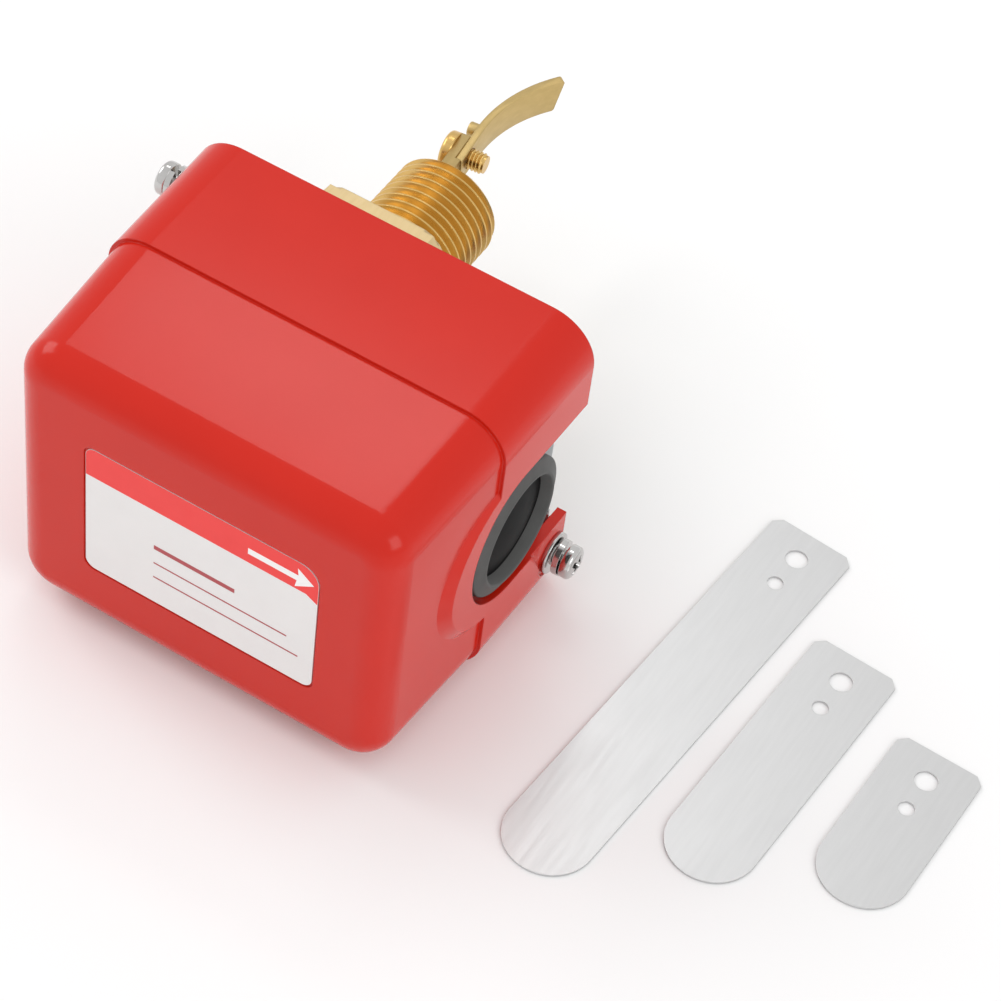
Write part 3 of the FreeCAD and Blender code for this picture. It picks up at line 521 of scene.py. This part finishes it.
def spring_washer(name, seat, out):
    bm = bmesh.new()
    outline = ((HOLE_R, 0), (SPRING_R, 0), (SPRING_R, SPRING_T), (HOLE_R, SPRING_T))
    corners = [bm.verts.new((r * MM, 0, z * MM)) for r, z in outline]
    face = bm.faces.new(corners)
    bmesh.ops.spin(bm, geom=[face] + corners + list(face.edges), cent=(0, 0, 0), axis=(0, 0, 1),
                   angle=math.radians(SPRING_DEG), dvec=(0, 0, SPRING_T * MM / SPRING_STEPS),
                   steps=SPRING_STEPS)
    stand(bm, seat, out)
    make_piece(name + "_dressed", bm, [nickel], "housing", [name])


# %% Cap screws on their washers
STACK = FLAT_T + 2 * SPRING_T       # the spring washer's open end stands up by its thickness
for n, side, turn_deg in ((1, 1, 48.0), (2, -1, 68.0)):
    out = Vector((side, 0, 0))
    low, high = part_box("flat_washer_%d" % n)
    middle = (low + high) / 2
    seat = Vector((low.x if side > 0 else high.x, middle.y, middle.z))
    flat_washer("flat_washer_%d" % n, seat, out)
    spring_washer("spring_washer_%d" % n, seat + out * FLAT_T * MM, out)
    screw("cover_screw_%d" % n, head_r=3.15, head_h=2.3, shank_r=1.45, length=10.0,
          base=seat + out * STACK * MM, way=out, material=nickel, turn_deg=turn_deg)

# %% [markdown]
# ## Lever, strip and paddle screw
# The lever is a brass bar with a curved backing strip clamped to its end. The lever, the strip and
# its pin are right in shape as solids but have razor edges. So each is copied, its loose triangles
# are merged into whole faces, and its corners get a narrow bevel. With no width, `softened` only
# copies and merges, which is all that a thin spring or a bellows needs.

# %% Soften a solid's corners
COPY_WELD = 1e-6        # metres: the solids' triangles come with corners of their own
SAME_FACE_DEG = 0.5


def softened(node, width, material, rides=True):
    bm = bmesh.new()
    bm.from_mesh(nodes[node].data)
    bmesh.ops.remove_doubles(bm, verts=bm.verts, dist=COPY_WELD)
    bmesh.ops.dissolve_limit(bm, angle_limit=math.radians(SAME_FACE_DEG), verts=bm.verts,
                             edges=bm.edges)
    if width:
        break_edges(bm, width)
    body = body_of(node) if rides else None
    return make_piece(node + "_dressed", bm, [material], body, [node])


for node, width in (("backing_strip", 0.22), ("lever_stem", 0.2), ("locating_pin", 0.2)):
    softened(node, width, brass_strip)

# %% [markdown]
# The paddle screw clamps the strip to the bar. The lever leans a little at rest, so the screw's
# place is worked out along and across the leaning bar, from the pivot.

# %% The paddle screw, threaded through the lever
PIVOT_Y, SCREW_REACH, BAR_HALF = -10.0, 46.2, 1.4
LEAN = math.radians(5.7)
across = Vector((math.cos(LEAN), math.sin(LEAN), 0))
along = Vector((-math.sin(LEAN), math.cos(LEAN), 0))
seat = Vector((0, PIVOT_Y, 0)) + along * SCREW_REACH - across * BAR_HALF
screw("paddle_screw", head_r=3.8, head_h=2.4, shank_r=2.0, length=6.3, base=seat * MM,
      way=-across, material=brass_turned, turn_deg=15.0, pitch=0.7)

# %% [markdown]
# ## Pieces that give way
# Two pieces inside are held at one end by the housing and pushed at the other by the lever. The
# bellows is sealed to the lever's rod; its copy rides on no body. The range spring is squeezed by
# the lever's arm; its copy rides on its body with a mesh of its own.

# %% Bellows and range spring
low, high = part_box("range_spring")
bellows = softened("bellows", 0.0, bronze, rides=False)
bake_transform(bellows)
range_spring = softened("range_spring", 0.0, spring_wire)
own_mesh(range_spring)

# %% [markdown]
# ## Cable grommet
# The grommet is a rubber ring with a thin domed skin, which the fitter pierces for the cable. It is
# turned from one section: groove, rim with rounded lips, the funnel, and the dome. The skin lies in
# the ring's shade, so it gets a darker copy of the ring's rubber: that darkness is painted shade.

# %% Turn the grommet
low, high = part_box("grommet")
hub = Vector((0, (low.y + high.y) / 2, 0))
BACK, GROOVE_FROM, GROOVE_TO, FACE, LIP = 43.2, 45.2, 46.8, 49.4, 50.3      # places along X
BACK_R, GROOVE_R, RIM_R, LIP_R = 12.8, 11.2, 13.3, 10.75
BACK_CHAMFER, RIM_ROUND, LIP_ROUND = 0.4, 0.5, 0.45
SKIN_R, SKIN_T, SKIN_DOME, SKIN_DROP, FUNNEL_DROP, FUNNEL_FLARE = 9.9, 1.1, 1.5, 2.4, 2.2, 0.1
NEAR_POLE_DEG, NEAR_EDGE_DEG, SKIN_STEPS, GROMMET_STEPS = 0.6, 0.4, 12, 96
SHADE_BEYOND = 0.15      # the painted shade runs this far past the skin, into the funnel


def arc(cx, cr, radius, a0, a1, count=6):
    turns = [math.radians(a0 + (a1 - a0) * i / count) for i in range(count + 1)]
    return [(cx + radius * math.cos(a), cr + radius * math.sin(a)) for a in turns]


dome_r = (SKIN_DOME ** 2 + SKIN_R ** 2) / (2 * SKIN_DOME)
dome_mid = LIP - SKIN_DROP + SKIN_DOME - dome_r
span = math.degrees(math.asin(SKIN_R / dome_r))
section = [(BACK, SKIN_R), (BACK, BACK_R - BACK_CHAMFER), (BACK + BACK_CHAMFER, BACK_R),
           (GROOVE_FROM, BACK_R), (GROOVE_FROM, GROOVE_R), (GROOVE_TO, GROOVE_R),
           (GROOVE_TO, RIM_R)]
section += arc(FACE - RIM_ROUND, RIM_R - RIM_ROUND, RIM_ROUND, 90, 20)
section += arc(LIP - LIP_ROUND, LIP_R, LIP_ROUND, 60, -60)
section += [(LIP - FUNNEL_DROP, SKIN_R + FUNNEL_FLARE)]
section += arc(dome_mid, 0.0, dome_r, span, NEAR_POLE_DEG, SKIN_STEPS)
section += [(dome_mid + dome_r, 0.0)]
under = [(dome_mid + dome_r - SKIN_T, 0.0)]
under += arc(dome_mid, 0.0, dome_r - SKIN_T, NEAR_POLE_DEG, span - NEAR_EDGE_DEG, SKIN_STEPS)
bm = bmesh.new()
outside, outside_edges = chain(bm, section)
inside, inside_edges = chain(bm, under)
closing = bm.edges.new((inside[-1], outside[0]))
spin_round(bm, outside + inside + outside_edges + inside_edges + [closing], GROMMET_STEPS)
stand(bm, hub, (1, 0, 0))
grommet = make_piece("grommet_dressed", bm, [rubber, rubber_painted_shade], "housing",
                     ["grommet"], corner=40.0)
# faces within the skin's reach take the second rubber, which is painted shade
for face in grommet.data.polygons:
    reach = math.hypot(face.center.y - hub.y, face.center.z) / MM
    face.material_index = 1 if reach < SKIN_R + SHADE_BEYOND else 0

# %% [markdown]
# ## Label print
# The label carries a red band with a plain white arrow that shows the direction of flow, and a few
# plain rules below. The ink lies on the label as thin plates: each outline is a flat face that is
# extruded by a hair, so the print stays crisp however close the view.

# %% Ink plates
low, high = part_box("direction_label")
PRINT_Y = low.y / MM
INK_T, CORNER_STEPS, PRINT_MARGIN = 0.02, 8, 0.05
BAND_LIFT, TOP_LIFT = 0.01, 0.03        # what is printed over the band stands a little higher


def ink(name, outline, material, lift, rounds=()):
    """outline is a list of (x, z). rounds gives some of its corners a radius."""
    bm = bmesh.new()
    verts = [bm.verts.new((x * MM, (PRINT_Y - lift + INK_T) * MM, z * MM)) for x, z in outline]
    bm.faces.new(verts)
    for corner, radius in rounds:
        bmesh.ops.bevel(bm, geom=[verts[corner]], offset=radius * MM, segments=CORNER_STEPS,
                        profile=0.5, affect="VERTICES", material=-1)
    grown = bmesh.ops.extrude_face_region(bm, geom=bm.faces[:])["geom"]
    bmesh.ops.translate(bm, vec=(0, -INK_T * MM, 0),
                        verts=[g for g in grown if isinstance(g, bmesh.types.BMVert)])
    return make_piece(name, bm, [material], "housing", corner=60.0)


# %% [markdown]
# The band follows the label's rounded top corners, and dips a little at its lower right. The
# arrow points to +X, the way the water runs.

# %% Band, arrow and rules
BAND_LOW, BAND_CUT_X, BAND_CUT_Z = 8.4, 31.9, 7.1
left, right = low.x / MM + PRINT_MARGIN, high.x / MM - PRINT_MARGIN
top = high.z / MM - PRINT_MARGIN
BAND = [(left, BAND_LOW), (BAND_CUT_X, BAND_LOW), (right, BAND_CUT_Z), (right, top),
        (left, top)]
ARROW = [(20.6, 10.6), (30.0, 10.6), (29.7, 8.9), (33.3, 11.3), (30.1, 13.7), (30.3, 12.0),
         (20.6, 12.0)]
RULE_START = 2.4
RULES = [(18.4, -0.9, 0.5), (28.8, -5.0, 0.16), (31.2, -8.7, 0.16)]     # end, height, half width
ink("label_band", BAND, ink_red, BAND_LIFT, rounds=[(3, 3.75), (4, 1.95)])
ink("label_arrow", ARROW, ink_white, TOP_LIFT)
for n, (end, z, half) in enumerate(RULES, 1):
    rule = [(RULE_START, z - half), (end, z - half), (end, z + half), (RULE_START, z + half)]
    ink("label_rule_%d" % n, rule, ink_dark_red, TOP_LIFT)

# %% [markdown]
# ## Floor, light and camera
# The floor is a wide pale sheet, a hair below the part so that no face lies in another. It is part
# of the stage, not of the object.

# %% Floor
FLOOR_SIZE, FLOOR_GAP = 6.0, 0.0001     # metres
bpy.ops.mesh.primitive_plane_add(size=FLOOR_SIZE, location=(0, 0, cad_box[0].z - FLOOR_GAP))
floor = bpy.context.object
floor.name = "floor"
paper = bpy.data.materials.new("paper")
paper.use_nodes = True
paper_shader = paper.node_tree.nodes["Principled BSDF"]
paper_shader.inputs["Base Color"].default_value = (0.93, 0.93, 0.93, 1)
paper_shader.inputs["Roughness"].default_value = 0.9
paper_shader.inputs["Specular IOR Level"].default_value = 0.1
floor.data.materials.append(paper)
print("the floor lies at", round(floor.location.z / MM, 1), "mm")

# %% [markdown]
# The room is white on all sides, so shadows are faint. It lights the part a little below full
# white, but the camera sees it as pure white: a Light Path node tells the two kinds of ray apart.

# %% White room
ROOM_LIGHT = 0.86
world = bpy.data.worlds.new("room")
bpy.context.scene.world = world
world.use_nodes = True
tree = world.node_tree
room = tree.nodes["Background"]
room.inputs["Strength"].default_value = ROOM_LIGHT
seen = tree.nodes.new("ShaderNodeBackground")
path = tree.nodes.new("ShaderNodeLightPath")
either = tree.nodes.new("ShaderNodeMath")
either.operation = "MAXIMUM"
pick = tree.nodes.new("ShaderNodeMixShader")
for background in (room, seen):
    background.inputs["Color"].default_value = (1, 1, 1, 1)
tree.links.new(path.outputs["Is Camera Ray"], either.inputs[0])
tree.links.new(path.outputs["Is Transmission Ray"], either.inputs[1])
tree.links.new(either.outputs[0], pick.inputs["Fac"])
tree.links.new(room.outputs[0], pick.inputs[1])
tree.links.new(seen.outputs[0], pick.inputs[2])
tree.links.new(pick.outputs[0], tree.nodes["World Output"].inputs["Surface"])

# %% [markdown]
# Three soft panels shape the light. The strongest stands at the left and a weaker one at the right
# gives the shaded side some form. A narrow panel behind the part is there for its reflection: it
# puts a bright patch in the gloss of the cap's upper side.

# %% Soft panels
def panel(name, place, aim, width, height, watts):
    """A panel without an aim lies flat and shines straight down."""
    lamp = bpy.data.lights.new(name, "AREA")
    lamp.shape = "RECTANGLE"
    lamp.size, lamp.size_y, lamp.energy = width, height, watts
    light = bpy.data.objects.new(name, lamp)
    bpy.context.scene.collection.objects.link(light)
    light.location = place
    if aim is not None:
        light.rotation_euler = (Vector(aim) - Vector(place)).to_track_quat("-Z", "Y").to_euler()
    print("panel", name, watts, "W")


ORIGIN = (0.0, 0.0, 0.0)
panel("cap_patch", (-0.295, 0.49, 0.90), None, width=0.35, height=0.14, watts=0.62)
panel("left", (-0.95, -0.02, 0.75), ORIGIN, width=0.7, height=0.6, watts=4.0)
panel("side", (0.85, -0.25, 0.45), ORIGIN, width=0.5, height=0.5, watts=1.7)

# %% [markdown]
# The camera looks down on the part through a long lens, which keeps parallel edges nearly
# parallel. Its direction is built as three turns: round the vertical, down from the level, and a
# small roll about its own line of sight.

# %% Camera
LENS, SENSOR = 123.7, 36.0      # millimetres
HEADING_DEG, DOWN_DEG, ROLL_DEG = 25.225, 49.882, 8.120
CAMERA_PLACE = (0.20306, -0.36744, 0.44246)
camera_data = bpy.data.cameras.new("camera")
camera_data.lens = LENS
camera_data.sensor_width = SENSOR
camera = bpy.data.objects.new("camera", camera_data)
bpy.context.scene.collection.objects.link(camera)
turn = Matrix.Rotation(math.radians(HEADING_DEG), 4, "Z")
tilt = Matrix.Rotation(math.radians(90 - DOWN_DEG), 4, "X")
roll = Matrix.Rotation(math.radians(ROLL_DEG), 4, "Z")
camera.matrix_world = Matrix.Translation(CAMERA_PLACE) @ turn @ tilt @ roll
bpy.context.scene.camera = camera
print("lens", LENS, "mm,", DOWN_DEG, "degrees down")

# %% [markdown]
# ## Finish
# The last cell sets the Standard view transform.

# %% Finish
bpy.context.scene.view_settings.view_transform = "Standard"
